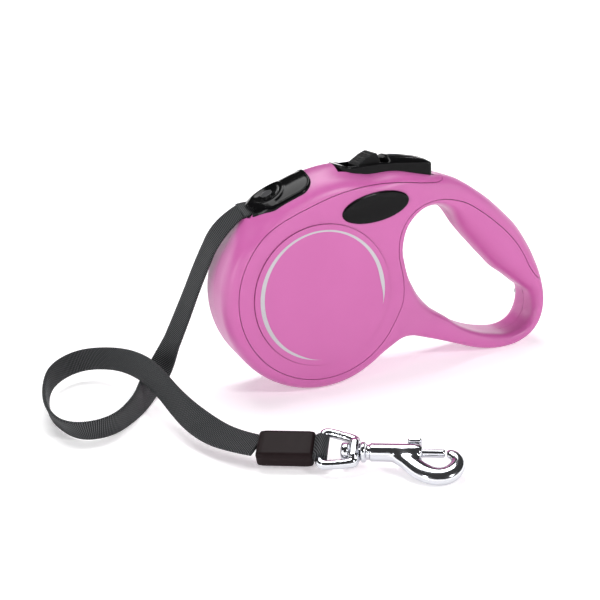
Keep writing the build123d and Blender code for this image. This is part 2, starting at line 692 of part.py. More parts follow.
with BuildPart() as bolt_spring:
    with BuildLine() as coil:
        Helix(pitch=SPRING_PITCH, height=BOLT_SPRING_H, radius=BOLT_SPRING_R,
              center=hook_at(BOLT[0] - BOLT_SPRING_H - 0.3, BARREL_V), direction=HOOK.x_dir)
    with BuildSketch(Plane(origin=coil.line @ 0, z_dir=coil.line % 0)):
        Circle(BOLT_SPRING_WIRE)
    sweep(path=coil.line, is_frenet=True)
save(bolt_spring, "bolt_spring")

# ---- strap tube --------------------------------------------------------------------------------------------
route = [Vector(AXLE_X + x, y, z) for x, y, z in STRAP_ROUTE]
route.append(hook_at(SLEEVE[0], SLEEVE_V))
bends = []
for before, corner, after in zip(route, route[1:], route[2:]):
    turn = radians((corner - before).get_angle(after - corner))
    shorter = min((corner - before).length, (after - corner).length)
    bends.append(0.45 * shorter / tan(turn / 2))
print("strap bend radii, mm:", [round(bend, 1) for bend in bends])
with BuildPart() as leash_strap:
    with BuildLine() as strap_line:
        FilletPolyline(*route, radius=bends)
    with BuildSketch(Plane(origin=strap_line.line @ 0, z_dir=strap_line.line % 0)):
        Circle(STRAP_TUBE_R)
    sweep(path=strap_line.line)
save(leash_strap, "leash_strap")
strap_length = strap_line.wires()[0].length
print(f"strap {strap_length:.1f} mm long, tube {leash_strap.part.volume:.1f} mm3, "
      f"section x length {pi * STRAP_TUBE_R ** 2 * strap_length:.1f} mm3")
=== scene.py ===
"""Retractable tape leash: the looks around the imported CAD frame.

Shapes are worked out in millimetres from the spool axle, in the side view seen from the front:
u to the right, v up, y into the picture. `metres` turns them into the row frame.
"""
from math import cos, pi, radians, sin

import bpy
import numpy as np
from mathutils import Matrix, Vector


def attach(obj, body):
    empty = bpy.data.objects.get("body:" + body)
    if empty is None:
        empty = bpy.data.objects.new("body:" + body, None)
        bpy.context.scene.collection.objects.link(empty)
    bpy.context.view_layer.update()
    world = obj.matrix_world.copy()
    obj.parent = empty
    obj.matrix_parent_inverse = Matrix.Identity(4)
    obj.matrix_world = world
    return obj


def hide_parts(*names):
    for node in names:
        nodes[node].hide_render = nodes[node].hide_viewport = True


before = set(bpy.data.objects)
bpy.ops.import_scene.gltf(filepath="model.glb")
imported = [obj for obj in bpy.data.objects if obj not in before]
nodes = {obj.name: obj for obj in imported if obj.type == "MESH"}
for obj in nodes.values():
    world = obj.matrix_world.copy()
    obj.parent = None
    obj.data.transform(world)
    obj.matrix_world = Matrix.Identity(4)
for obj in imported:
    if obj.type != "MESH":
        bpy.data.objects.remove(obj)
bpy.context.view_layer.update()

MM = 0.001
AXLE = Vector((-32.5, 0.0, 38.5))        # spool axle in the row frame, mm


def metres(points):
    """Side-view points (u, y, v) in mm to the row frame in metres."""
    return (np.asarray(points, float) + np.array(AXLE)) * MM


# ---- camera --------------------------------------------------------------------------------------
def add_camera():
    """The main view: front left, slightly above, rolled a little."""
    azimuth, elevation, roll = radians(-20.378), radians(17.673), radians(-3.334)
    target, distance = Vector((-36.7, 0.0, 33.5)) * MM, 376.0 * MM
    back = Vector((sin(azimuth) * cos(elevation), -cos(azimuth) * cos(elevation), sin(elevation)))
    right = Vector((cos(azimuth), sin(azimuth), 0.0))
    up = back.cross(right)
    turned = right * cos(roll) + up * sin(roll)
    raised = -right * sin(roll) + up * cos(roll)
    data = bpy.data.cameras.new("camera")
    data.lens, data.sensor_width, data.clip_start = 57.87, 36.0, 0.01
    camera = bpy.data.objects.new("camera", data)
    bpy.context.scene.collection.objects.link(camera)
    columns = Matrix((turned, raised, back)).transposed().to_4x4()
    camera.matrix_world = Matrix.Translation(target + back * distance) @ columns
    bpy.context.scene.camera = camera


add_camera()


# ---- materials -----------------------------------------------------------------------------------
def srgb(r, g, b):
    """An 8-bit sRGB colour as linear RGBA."""
    def linear(c):
        c = c / 255
        return c / 12.92 if c <= 0.04045 else ((c + 0.055) / 1.055) ** 2.4
    return (linear(r), linear(g), linear(b), 1.0)


class Mat:
    """A small builder for procedural materials."""

    def __init__(self, name, color, roughness, metallic=0.0, **sockets):
        self.mat = bpy.data.materials.new(name)
        self.mat.use_nodes = True
        self.tree = self.mat.node_tree
        self.shader = self.tree.nodes["Principled BSDF"]
        self.shader.inputs["Base Color"].default_value = color
        self.shader.inputs["Roughness"].default_value = roughness
        self.shader.inputs["Metallic"].default_value = metallic
        for key, value in sockets.items():
            self.shader.inputs[key.replace("_", " ")].default_value = value

    def node(self, kind, **values):
        new = self.tree.nodes.new(kind)
        for key, value in values.items():
            if key in new.inputs.keys():
                new.inputs[key].default_value = value
            else:
                setattr(new, key, value)
        return new

    def link(self, source, output, target, socket):
        self.tree.links.new(source.outputs[output], target.inputs[socket])

    def noise(self, scale, detail=2.0, roughness=0.5):
        """Object-space noise, scale in cycles per metre."""
        place = self.node("ShaderNodeTexCoord")
        noise = self.node("ShaderNodeTexNoise", Scale=scale, Detail=detail, Roughness=roughness)
        self.link(place, "Object", noise, "Vector")
        return noise

    def ramp(self, source, output, low, high, start=0.3, end=0.7):
        """A two-colour ramp fed by a value."""
        ramp = self.node("ShaderNodeValToRGB")
        ramp.color_ramp.elements[0].color, ramp.color_ramp.elements[0].position = low, start
        ramp.color_ramp.elements[1].color, ramp.color_ramp.elements[1].position = high, end
        self.link(source, output, ramp, "Fac")
        return ramp

    def bump(self, source, output, distance, strength=1.0):
        bump = self.node("ShaderNodeBump", Distance=distance, Strength=strength)
        self.link(source, output, bump, "Height")
        self.link(bump, "Normal", self.shader, "Normal")
        return bump


def grey(value):
    return (value, value, value, 1.0)


def pink_plastic():
    """Satin moulded plastic with a very fine grain and a slight cloudiness."""
    m = Mat("pink_plastic", srgb(180, 88, 150), 0.3)
    cloud = m.noise(35.0, 3.0)
    tint = m.ramp(cloud, "Fac", srgb(178, 86, 148), srgb(182, 90, 152))
    m.link(tint, "Color", m.shader, "Base Color")
    grain = m.noise(9000.0, 2.0, 0.6)
    rough = m.ramp(grain, "Fac", grey(0.30), grey(0.42))
    m.link(rough, "Color", m.shader, "Roughness")
    m.bump(grain, "Fac", 0.00002, 0.25)
    return m.mat


def black_plastic(name, roughness):
    """Black moulded plastic, polished or satin, with fine rubbing marks."""
    m = Mat(name, srgb(10, 10, 11), roughness, Specular_IOR_Level=0.12)
    marks = m.noise(2500.0, 4.0, 0.7)
    rough = m.ramp(marks, "Fac", grey(roughness * 0.8), grey(roughness * 1.25 + 0.02))
    m.link(rough, "Color", m.shader, "Roughness")
    return m.mat


def silver_foil():
    """Satin hot-stamped foil."""
    m = Mat("silver_foil", srgb(178, 176, 180), 0.36, 0.85)
    grain = m.noise(6000.0, 2.0)
    rough = m.ramp(grain, "Fac", grey(0.26), grey(0.4))
    m.link(rough, "Color", m.shader, "Roughness")
    return m.mat


def worked(name, color, roughness, metallic=0.0, scale=3000.0, **sockets):
    """A plain finish whose roughness varies a little over the surface."""
    m = Mat(name, color, roughness, metallic, **sockets)
    marks = m.noise(scale, 3.0, 0.6)
    rough = m.ramp(marks, "Fac", grey(roughness * 0.85), grey(roughness * 1.2))
    m.link(rough, "Color", m.shader, "Roughness")
    return m.mat


def folded_webbing():
    """The tape where it is sewn round the eye: cross ribs by place, coloured with the same wave as
    their bump, partly the weave's pattern and partly a painted sheen on the ribs with painted shade
    between them.
    """
    m = Mat("webbing_fold", srgb(34, 34, 35), 0.62, Specular_IOR_Level=0.2)
    place = m.node("ShaderNodeTexCoord")
    ribs = m.node("ShaderNodeTexWave", Scale=476.0, Distortion=0.4)
    m.link(place, "Object", ribs, "Vector")
    # Painted sheen and shade: the rib wave sets the colour, dark between the ribs and light grey on
    # them.
    tint = m.ramp(ribs, "Fac", srgb(10, 10, 11), srgb(66, 68, 70))
    m.link(tint, "Color", m.shader, "Base Color")
    m.bump(ribs, "Fac", 0.0001, 0.5)
    return m.mat


PINK = pink_plastic()
GLOSS_BLACK = black_plastic("gloss_black", 0.12)
SATIN_BLACK = black_plastic("satin_black", 0.42)
FOIL = silver_foil()


def dress(name, material):
    """A CAD node keeps its shape and gets a finished material."""
    for slot in nodes[name].material_slots:
        slot.material = material


# ---- meshes from fields --------------------------------------------------------------------------
def surface_net(field, low, high, step, polish=3):
    """Vertices and quads of the surface field = 0, where field(points) is below 0 inside."""
    axes = [np.arange(a, b + step, step) for a, b in zip(low, high)]
    grid = np.stack(np.meshgrid(*axes, indexing="ij"), -1)
    shape = np.array(grid.shape[:3])
    value = field(grid.reshape(-1, 3)).reshape(shape)
    inside = value < 0
    cells = shape - 1
    total, count = np.zeros((cells.prod(), 3)), np.zeros(cells.prod())
    crossings = []
    for axis in range(3):
        others = [a for a in range(3) if a != axis]
        first = [slice(None)] * 3
        second = [slice(None)] * 3
        first[axis], second[axis] = slice(None, -1), slice(1, None)
        f0, f1 = value[tuple(first)], value[tuple(second)]
        where = np.argwhere(inside[tuple(first)] != inside[tuple(second)])
        a, b = f0[tuple(where.T)], f1[tuple(where.T)]
        place = where.astype(float)
        place[:, axis] += a / (a - b)
        ring = []
        for p, q in ((-1, -1), (0, -1), (0, 0), (-1, 0)):
            cell = where.copy()
            cell[:, others[0]] += p
            cell[:, others[1]] += q
            good = ((cell >= 0) & (cell < cells)).all(1)
            flat = np.where(good, np.ravel_multi_index(np.clip(cell, 0, cells - 1).T, cells), -1)
            total += np.stack([np.bincount(flat[good], place[good, k], cells.prod())
                               for k in range(3)], 1)
            count += np.bincount(flat[good], minlength=cells.prod())
            ring.append(flat)
        ring = np.stack(ring, 1)
        flip = (a < 0) if axis != 1 else (a >= 0)
        ring[flip] = ring[flip][:, ::-1]
        crossings.append(ring[(ring >= 0).all(1)])
    used = np.flatnonzero(count)
    number = np.full(cells.prod(), -1)
    number[used] = np.arange(len(used))
    points = total[used] / count[used][:, None] * step + np.array([x[0] for x in axes])
    for _ in range(polish):
        value = field(points)
        slope = np.stack([field(points + d) - field(points - d)
                          for d in np.eye(3) * 0.02], 1) / 0.04
        move = -value[:, None] * slope / np.maximum((slope ** 2).sum(1), 1e-6)[:, None]
        length = np.linalg.norm(move, axis=1)
        points += move * np.minimum(1.0, 0.4 * step / np.maximum(length, 1e-9))[:, None]
    return points, number[np.concatenate(crossings)]


def mesh_object(name, points, faces, material, smooth=35.0):
    """An object from side-view points, shaded smooth up to an angle."""
    mesh = bpy.data.meshes.new(name)
    mesh.from_pydata(metres(points).tolist(), [], [list(map(int, f)) for f in faces])
    mesh.update()
    mesh.materials.append(material)
    mesh.shade_smooth()
    mesh.set_sharp_from_angle(angle=radians(smooth))
    new = bpy.data.objects.new(name, mesh)
    bpy.context.scene.collection.objects.link(new)
    return new


def turns_left(outline):
    """True for a polygon whose points run anticlockwise."""
    return sum(outline[i - 1][0] * outline[i][1] - outline[i][0] * outline[i - 1][1]
               for i in range(len(outline))) > 0


def prism_faces(count, flip):
    """The two ends and the sides of a prism whose two rings have `count` points each."""
    faces = [list(range(count))[::-1], [count + i for i in range(count)]]
    faces += [(i, (i + 1) % count, count + (i + 1) % count, count + i) for i in range(count)]
    return [f[::-1] for f in faces] if flip else faces


def prism(name, outline, y0, y1):
    """A closed prism of a side-view outline between two depths."""
    near = [(u, y0, v) for u, v in outline]
    far = [(u, y1, v) for u, v in outline]
    return mesh_object(name, near + far, prism_faces(len(outline), turns_left(outline)), PINK)


def plan_prism(name, outline, v0=-60, v1=70):
    """A closed prism of a (u, y) outline, standing between two heights."""
    low = [(u, y, v0) for u, y in outline]
    high = [(u, y, v1) for u, y in outline]
    return mesh_object(name, low + high, prism_faces(len(outline), not turns_left(outline)), PINK)


def boolean(target, tool, operation):
    """Applies a boolean of two closed meshes to the target and removes the tool."""
    modifier = target.modifiers.new("cut", "BOOLEAN")
    modifier.operation, modifier.object, modifier.solver = operation, tool, "MANIFOLD"
    depsgraph = bpy.context.evaluated_depsgraph_get()
    result = bpy.data.meshes.new_from_object(target.evaluated_get(depsgraph))
    target.modifiers.clear()
    target.data = result
    bpy.data.objects.remove(tool)


def copy_of(source, name):
    new = bpy.data.objects.new(name, source.data.copy())
    bpy.context.scene.collection.objects.link(new)
    return new


# ---- webbing lead --------------------------------------------------------------------------------
TAPE_W, TAPE_T = 9.6, 1.15
RIB = 0.66                                   # pitch of the cross ribs
RIB_STEP = 0.000165                          # a quarter of the rib pitch, in metres
ROUTE = [                                    # row frame, mm
    (-58.3, 0, 71.7), (-66.3, 3, 66.3), (-73.5, 8, 50), (-81, 13, 30.5), (-90, 17.5, 10),
    (-97, 12, 4.6), (-105.5, -5.5, 5.0), (-117.5, -19, 5.0), (-130.5, -17, 5.0),
    (-136, -1, 5.3), (-136, 18, 6.5), (-131, 36, 8), (-118.5, 45, 9), (-106, 36, 10.5),
    (-99.5, 14, 13.9), (-96.5, -5, 13.8), (-93.5, -26, 10), (-89, -40.5, 7.4),
    (-83.8, -52, 6.6), (-77.0, -60.5, 6.78),
]
INNER_ROUTE = [                              # inside the casing, from the spool to the mouth
    (-30.5, 0, 70.9), (-42, 0, 71.7), (-51, 0, 72.4), (-56, 0, 72.3), ROUTE[0],
]
# How far the width has turned about the line, by distance along it (mm, degrees): 0 lies across
# the heading with the right-hand edge up, 90 stands on edge.
TWIST = [
    (-24, 3), (-8, 14), (0, 27), (10, 39), (20, 46), (60, 48), (75, 50), (85, 62), (100, 88),
    (110, 100), (120, 114), (130, 120), (140, 118), (150, 107), (165, 92), (180, 87), (200, 84),
    (215, 92), (230, 108), (245, 116), (262, 112), (275, 118), (285, 132), (295, 150),
    (305, 161), (320, 165),
]


def nurbs_line(points, step):
    """Even points in metres along the route's NURBS spline."""
    curve = bpy.data.curves.new("route", "CURVE")
    curve.dimensions = "3D"
    spline = curve.splines.new("NURBS")
    spline.points.add(len(points) - 1)
    for slot, point in zip(spline.points, points):
        slot.co = (*(Vector(point) * MM), 1.0)
    spline.order_u, spline.use_endpoint_u, spline.resolution_u = 3, True, 40
    holder = bpy.data.objects.new("route", curve)
    mesh = bpy.data.meshes.new_from_object(holder)
    line = np.array([v.co for v in mesh.vertices])
    bpy.data.objects.remove(holder)
    gaps = np.linalg.norm(np.diff(line, axis=0), axis=1)
    line = line[np.concatenate([[True], gaps > 1e-7])]
    run = np.concatenate([[0], np.cumsum(np.linalg.norm(np.diff(line, axis=0), axis=1))])
    even = np.linspace(0, run[-1], int(run[-1] / step) + 1)
    return np.stack([np.interp(even, run, line[:, k]) for k in range(3)], 1), even


def smooth_rows(rows, passes):
    """Averages neighbours along a list, with its ends fixed."""
    rows = rows.copy()
    for _ in range(passes):
        rows[1:-1] = (rows[:-2] + 2 * rows[1:-1] + rows[2:]) / 4
    return rows


def ribbon_frame(line, run):
    """The tangent, width and normal directions along the lead."""
    tangent = np.gradient(line, axis=0)
    tangent /= np.linalg.norm(tangent, axis=1)[:, None]
    left = np.stack([-tangent[:, 1], tangent[:, 0], np.zeros(len(line))], 1)
    left /= np.linalg.norm(left, axis=1)[:, None]
    raised = np.cross(tangent, left)
    angles, values = zip(*TWIST)
    turn = np.radians(np.interp(run * 1000, angles, values))
    turn = smooth_rows(turn, 900)[:, None]
    width = -left * np.cos(turn) + raised * np.sin(turn)
    return tangent, width, np.cross(tangent, width)


def ribbon(name, line, run, material, waist=None):
    """A woven tape along a line, with ribs across it and a scalloped edge."""
    tangent, width, normal = ribbon_frame(line, run)
    half = TAPE_W / 2 * MM
    across = np.array([-1, -0.985, -0.9, -0.6, -0.3, 0, 0.3, 0.6, 0.9, 0.985, 1])
    thick = np.array([0.25, 0.72, 1, 1, 1, 1, 1, 1, 1, 0.72, 0.25])
    phase = np.cos(2 * pi * run * 1000 / RIB)
    narrow = np.ones(len(line)) if waist is None else waist(run * 1000)
    rings = []
    for side in (1, -1):
        for a, t in zip(across[::side], thick[::side]):
            out = a * (half + 0.07 * MM * phase * (abs(a) > 0.95)) * narrow
            lift = side * (TAPE_T / 2 * t + 0.045 * phase * side * t) * MM
            rings.append(line + width * out[:, None] + normal * np.reshape(lift, (-1, 1)))
    rings = np.stack(rings, 1)
    count, ring = rings.shape[:2]
    points = rings.reshape(-1, 3) / MM - np.array(AXLE)
    index = np.arange(count * ring).reshape(count, ring)
    a, b = index[:-1], index[1:]
    quads = np.stack([a, b, np.roll(b, -1, 1), np.roll(a, -1, 1)], -1).reshape(-1, 4)
    faces = [list(q) for q in quads] + [list(index[0]), list(index[-1][::-1])]
    piece = mesh_object(name, points, faces, material, 70)
    uv = piece.data.uv_layers.new(name="weave")
    place = np.concatenate([across, across[::-1]]) * TAPE_W / 2
    loops = np.empty(len(piece.data.loops), int)
    piece.data.loops.foreach_get("vertex_index", loops)
    coords = np.stack([place[loops % ring], run[loops // ring] * 1000], 1) / 10
    uv.data.foreach_set("uv", coords.ravel())
    return piece


def webbing():
    """Black woven tape: cross ribs over a fine twill, coloured by their height, partly the weave's
    own pattern and partly a painted sheen on the raised yarn with painted shade in the hollows.
    """
    m = Mat("webbing", srgb(34, 34, 35), 0.62, Specular_IOR_Level=0.2)
    place = m.node("ShaderNodeUVMap", uv_map="weave")
    split = m.node("ShaderNodeSeparateXYZ")
    m.link(place, "UV", split, "Vector")

    def math(operation, first, second=None, third=None):
        new = m.node("ShaderNodeMath", operation=operation)
        for k, value in enumerate((first, second, third)):
            if isinstance(value, tuple):
                m.tree.links.new(value[0].outputs[value[1]], new.inputs[k])
            elif value is not None:
                new.inputs[k].default_value = value
        return (new, 0)

    along = math("MULTIPLY", (split, "Y"), 10 * 2 * pi / RIB)
    wave = math("COSINE", along)
    column = math("MULTIPLY", (split, "X"), 10 * 2 * pi / 0.9)
    twill = math("SINE", math("ADD", column, math("MULTIPLY", along, 0.5)))
    height = math("MULTIPLY_ADD", twill, 0.35, wave)
    spread = m.node("ShaderNodeMapRange")
    spread.inputs["From Min"].default_value, spread.inputs["From Max"].default_value = -1.35, 1.35
    m.tree.links.new(height[0].outputs[0], spread.inputs["Value"])
    # Painted sheen and shade: the weave's height sets the colour, near black in the hollows and
    # light grey on the raised ribs.
    tint = m.ramp(spread, "Result", srgb(8, 8, 9), srgb(84, 86, 88), 0.35, 1.0)
    m.link(tint, "Color", m.shader, "Base Color")
    m.bump(spread, "Result", 0.00012, 0.6)
    return m.mat


WEBBING = webbing()
route_line, route_run = nurbs_line(ROUTE, RIB_STEP)


def mouth_waist(s):
    """The tape is pinched a little where it leaves the mouth."""
    return 1 - 0.12 * np.exp(-(s / 9.0) ** 2)


strap = ribbon("leash_tape", route_line, route_run, WEBBING, mouth_waist)
inner_line, inner_run = nurbs_line(INNER_ROUTE, RIB_STEP)
inner = ribbon("inner_tape", inner_line, inner_run - inner_run[-1], WEBBING, mouth_waist)
for piece, node in ((strap, "leash_strap"), (inner, "inner_tape_run")):
    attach(piece, "casing")
    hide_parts(node)


# ---- side-view curves ----------------------------------------------------------------------------
def closed_curve(points, pieces=8):
    """A smooth closed curve through the points, as a dense polygon."""
    p = np.asarray(points, float)
    out = []
    for i in range(len(p)):
        p0, p1, p2, p3 = (p[(i + k) % len(p)] for k in (-1, 0, 1, 2))
        knots = np.cumsum([0] + [max(np.linalg.norm(b - a), 1e-6) ** 0.5
                                 for a, b in ((p0, p1), (p1, p2), (p2, p3))])
        t = np.linspace(knots[1], knots[2], pieces, endpoint=False)[:, None]

        def mix(a, b, i0, i1):
            return ((knots[i1] - t) * a + (t - knots[i0]) * b) / (knots[i1] - knots[i0])

        a1, a2, a3 = mix(p0, p1, 0, 1), mix(p1, p2, 1, 2), mix(p2, p3, 2, 3)
        out.append(mix(mix(a1, a2, 0, 2), mix(a2, a3, 1, 3), 1, 2))
    return np.concatenate(out)


def inside_distance(points, outline):
    """Signed distance to a closed polygon, positive inside."""
    a, b = outline, np.roll(outline, -1, 0)
    edge = b - a
    best = np.full(len(points), np.inf)
    crossings = np.zeros(len(points), int)
    for start, step, end in zip(a, edge, b):
        rel = points - start
        t = np.clip((rel @ step) / (step @ step), 0, 1)
        gap = rel - t[:, None] * step
        best = np.minimum(best, (gap ** 2).sum(1))
        spans = (start[1] > points[:, 1]) != (end[1] > points[:, 1])
        if step[1]:
            where = start[0] + (points[:, 1] - start[1]) * step[0] / step[1]
            crossings += spans & (points[:, 0] < where)
    return np.sqrt(best) * np.where(crossings % 2, 1, -1)


class DistanceMap:
    """Signed distance to an outline, stored on a grid and read with linear interpolation."""

    def __init__(self, outline, low, high, step=0.5):
        self.low, self.step = np.array(low, float), step
        us, vs = (np.arange(a, b + step, step) for a, b in zip(low, high))
        grid = np.stack(np.meshgrid(us, vs, indexing="ij"), -1)
        self.values = inside_distance(grid.reshape(-1, 2), outline).reshape(grid.shape[:2])

    def __call__(self, u, v):
        x, y = (u - self.low[0]) / self.step, (v - self.low[1]) / self.step
        x = np.clip(x, 0, self.values.shape[0] - 1.001)
        y = np.clip(y, 0, self.values.shape[1] - 1.001)
        i, j = x.astype(int), y.astype(int)
        fx, fy = x - i, y - j
        g = self.values
        return ((g[i, j] * (1 - fx) + g[i + 1, j] * fx) * (1 - fy)
                + (g[i, j + 1] * (1 - fx) + g[i + 1, j + 1] * fx) * fy)


def step_up(x, start, end):
    """0 before start, 1 after end, smooth between."""
    t = np.clip((x - start) / (end - start), 0, 1)
    return t * t * (3 - 2 * t)


# ---- casing --------------------------------------------------------------------------------------
BODY_ARC = [(38.5 * cos(radians(a)), 38.5 * sin(radians(a))) for a in range(148, 316, 12)]
OUTER = BODY_ARC + [
    (24.2, -30), (29, -27.2), (34.5, -25), (40, -25.2), (46, -27.2), (54, -30.2), (62.5, -33.6),
    (70.5, -36.6), (78, -38.2), (85, -38.5), (91, -37.6), (97, -34.7), (100.8, -30.5),
    (102.9, -25), (103.3, -18), (102, -9), (99, -0.8), (95, 6.5), (90, 13.8), (83.6, 20.3),
    (77.6, 25.8), (71.6, 30.3), (66.7, 33.6), (61.8, 36.3), (56.5, 38.1), (50, 39), (43, 40.6),
    (30, 44.4), (20, 46.1), (11.5, 46.9), (3, 46.0), (-8, 42.8), (-21.5, 36.2),
]
HOLE = [
    (36.3, 12.5), (38.4, 20.2), (43.7, 25.3), (50, 26.8), (56, 25.6), (60.5, 22.6), (64.6, 15.6),
    (68, 11), (72.8, 5.4), (77.3, 0.4), (82, -4.6), (87.4, -8.7), (93, -13.2), (97, -16.5),
    (98.2, -21), (97.8, -25.5), (95.5, -29.8), (91.5, -32.3), (86, -33.1), (80, -32.2),
    (74.4, -30.8), (68, -28.2), (62, -24.9), (56.7, -20.7), (50, -15.9), (45.2, -10.5),
    (41.4, -4.6), (38.4, 1.2), (36.8, 7.3),
]
LOW, HIGH = (-42.0, -42.0), (107.0, 50.0)
outer_map = DistanceMap(closed_curve(OUTER), LOW, HIGH)
hole_map = DistanceMap(closed_curve(HOLE), LOW, HIGH)


def rounding(depth, width, side, power):
    """How far a rounded edge stands out: width is its reach in the side view, side runs 0 to 1."""
    gap = np.maximum(width - depth, 0) / width
    return ((gap ** power + np.maximum(side, 0) ** power) ** (1 / power) - 1) * width


def smooth_max(a, b, blend):
    h = np.clip(0.5 + 0.5 * (a - b) / blend, 0, 1)
    return b + (a - b) * h + blend * h * (1 - h)


def half_thickness(u, v):
    """15 at the body, 9.5 along the hand loop; the upper arm starts later than the lower one."""
    upper = step_up(v, -15, 20)
    start, end = 27 + 13 * upper, 50 + 16 * upper
    return 15 - 5.5 * step_up(u, start, end)


def shell_field(points):
    """The casing's outer skin, below 0 inside."""
    u, y, v = points.T
    t = half_thickness(u, v)
    arm = step_up(u, 42, 62)
    angle = np.degrees(np.arctan2(v, u))
    nose = step_up(angle, 28, 55) * (1 - step_up(angle, 125, 152)) * (1 - step_up(u, 22, 46))
    upper_arm = arm * step_up(v, -22, 0)
    w_outer = 5.5 + 3.9 * nose - 1.6 * arm + 2.6 * upper_arm
    c_outer = 7.5 * (1 - nose) * (1 - arm) + 6.0 * arm - 3.6 * upper_arm
    power = 2.3 - 0.75 * nose
    side = (np.abs(y) - c_outer) / (t - c_outer)
    outer = rounding(outer_map(u, v), w_outer, side, power)
    along = (u - 79) * 0.66 - (v - 2) * 0.75
    across = (u - 79) * 0.75 + (v - 2) * 0.66
    finger = np.exp(-(along / 26.0) ** 4) * step_up(across, -14, -4)
    w_hole = 3.4 + 9.6 * finger + 1.6 * (1 - arm) * (1 - finger)
    c_hole = 5.5 * (1 - finger) * arm + 3.0 * (1 - arm)
    hole = rounding(-hole_map(u, v), w_hole, (np.abs(y) - c_hole) / (t - c_hole), 2.3)
    seat = np.exp(-((u - 23) / 13) ** 2 - ((np.abs(y) - 7.5) / 3) ** 2) * step_up(v, 30, 40)
    return smooth_max(outer, hole, 1.2) + 1.2 * seat


def half_field(points):
    """The front half of the casing, run on a little past the parting plane."""
    return np.maximum(shell_field(points), points[:, 1] - 1.0)


STEP = 0.7
points, quads = surface_net(half_field, (-41, -17, -41), (105.5, 2.2, 48.5), STEP)
half_shell = mesh_object("half_shell", points, quads, PINK)

SPOOL_ROOM = [(35.7 * cos(a), 35.7 * sin(a)) for a in np.linspace(0, 2 * pi, 120, endpoint=False)]
BRAKE_ROOM = [
    (-17, 27), (-13, 33), (0, 40), (14, 42.6), (30, 41), (40, 37), (46, 31.5), (44, 29.4),
    (38, 27.2), (34.6, 22), (33.4, 17), (30, 16),
]
BUTTON_ROOM = [(11.4, 40), (11.4, 60), (52.2, 60), (52.2, 33.5), (40, 33.5), (30, 38)]
MOUTH = [(-32.1, 35.4), (-8.0, 34.0), (-8.2, 31.0), (-32.3, 31.4)]
GUARD_SEAT = [(-22.0, 33.8), (-12.8, 38.6), (-4.0, 41.6), (-1.0, 42.4), (-0.6, 52), (-40, 52),
              (-24, 36)]

arc = [(33.4 * cos(radians(a)), 33.4 * sin(radians(a))) for a in np.arange(-30, -253, -4.0)]
COVER = arc + [
    (-7, 33.1), (5.1, 37.0), (13.4, 38.6), (21.4, 39.2), (33.9, 38.9), (46, 37.2), (51.6, 36.7),
    (54.6, 37.6), (55.6, 40.5), (60, 45), (72, 42), (92, 26), (106, 4), (110, -10),
    (103, -11.8), (99.6, -10.3), (95.4, -5.3), (92.1, 0.8), (88.1, 6.9), (82.8, 12.7), (76.7, 18.1),
    (70.8, 22.6), (65, 26.2), (58.4, 28.5), (53.1, 29.6), (47.2, 29.7), (42.1, 28.6),
    (37.6, 25.7), (34.7, 22.1), (32.7, 17.3), (32.2, 9.6), (33.5, 2.9), (34, -3.4), (33.4, -9.1),
    (30.4, -14.5),
]


def offset_outline(outline, amount):
    """A polygon moved outwards by a small amount."""
    ahead, behind = np.roll(outline, -1, 0), np.roll(outline, 1, 0)
    along = ahead - behind
    along /= np.linalg.norm(along, axis=1)[:, None]
    normal = np.stack([along[:, 1], -along[:, 0]], 1)
    area = (outline[:, 0] * ahead[:, 1] - ahead[:, 0] * outline[:, 1]).sum()
    return outline + normal * amount * np.sign(area)


def circle(u, v, radius, count=64):
    angles = np.linspace(0, 2 * pi, count, endpoint=False)
    return np.stack([u + radius * np.cos(angles), v + radius * np.sin(angles)], 1)


def mirrored(source, name):
    """The same mesh on the other side of the parting plane."""
    new = copy_of(source, name)
    new.data.transform(Matrix.Scale(-1, 4, (0, 1, 0)))
    new.data.flip_normals()
    return new


def cut(target, *tools):
    for tool in tools:
        boolean(target, tool, "DIFFERENCE")


SPLIT = 0.06                                  # half of the gap at the parting plane
SHUT = 0.13                                   # half of a shut line between pieces
BADGE_U, BADGE_V = 22.9, 31.0                 # middle of the badge
SCREWS = [(-4.5, 38.8), (38.4, -15.8), (100.4, -20), (61.5, 31.6)]
COVER_BACK = [(-60, -20), (-60, -13.4), (12, -13.4), (28, -9.7), (50, -9.2), (59, -0.12),
              (130, -0.12), (130, -20)]       # (u, y): the cover's inner side
POCKET_FLOOR = [(-60, -20), (-60, -13.25), (12, -13.25), (28, -9.5), (50, -9.0), (59, 0.5),
                (130, 0.5), (130, -20)]       # (u, y): the casing under the cover
cover_outline = closed_curve(COVER, 4)
badge_tilt = radians(6.5)


def badge_outline(a, b, count=72):
    """The badge's oval, a by b, in the side view."""
    out = []
    for t in np.linspace(0, 2 * pi, count, endpoint=False):
        x, y = a * cos(t), b * sin(t)
        out.append((BADGE_U + x * cos(badge_tilt) - y * sin(badge_tilt),
                    BADGE_V + x * sin(badge_tilt) + y * cos(badge_tilt)))
    return out


half_plane = [(-60, -30), (130, -30)] + [(u, -SPLIT) for u in range(130, -61, -2)]
boolean(half_shell, plan_prism("half_space", half_plane), "INTERSECT")

front_cover = copy_of(half_shell, "front_cover_skin")
boolean(front_cover, prism("t", offset_outline(cover_outline, -SHUT), -20, 1), "INTERSECT")
boolean(front_cover, plan_prism("t", COVER_BACK), "INTERSECT")
cut(front_cover, prism("t", circle(0, 0, 27.62, 128), -20, -13.9),
    prism("t", badge_outline(13.95, 5.65), -20, -13.7))

